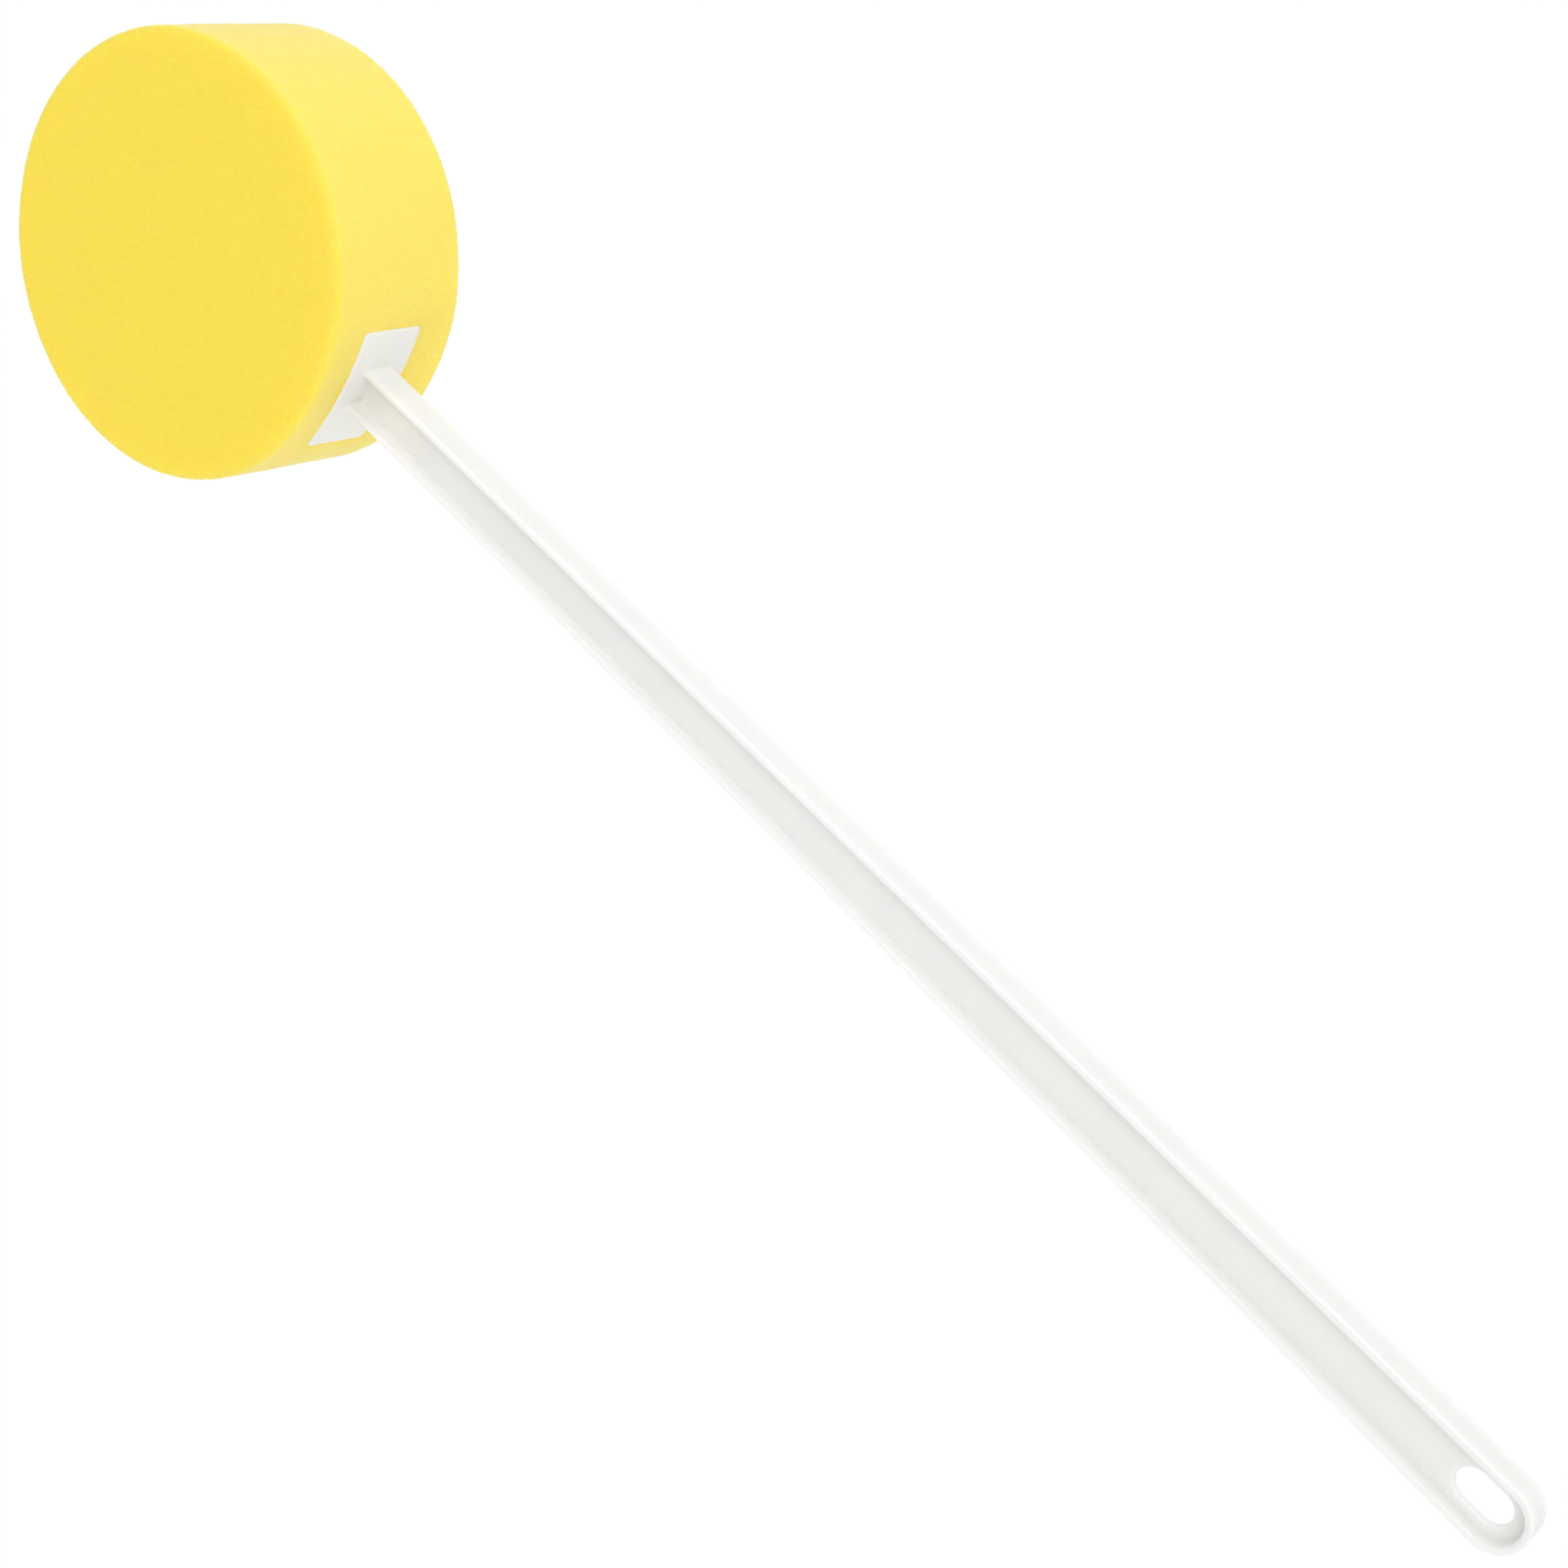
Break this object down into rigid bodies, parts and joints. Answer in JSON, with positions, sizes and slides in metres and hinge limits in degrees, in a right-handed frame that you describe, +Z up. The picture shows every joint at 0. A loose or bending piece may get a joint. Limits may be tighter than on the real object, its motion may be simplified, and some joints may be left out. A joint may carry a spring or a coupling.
{
  "type": "foam sponge brush",
  "caption": "Round foam disc on a long straight plastic handle with an I-section stem, a curved flange at the disc's rim and a hanging slot at the rounded end.",
  "frame": {"origin": "centre of the foam disc's rear face", "axes": "+Z along the disc's axis from its rear face to its front face, +X along the handle from the disc to the hanging slot, +Y across the handle to the left when +X points away and +Z points up"},
  "size_m": [0.442, 0.1, 0.0405],
  "materials": {
    "handle_plastic": "satin",
    "foam": "matte",
    "adhesive": "satin"
  },
  "bodies": {
    "root": {"handle": "handle_plastic", "foam_head": "foam", "glue_film_front": "adhesive", "glue_film_rear": "adhesive"}
  },
  "joints": []
}
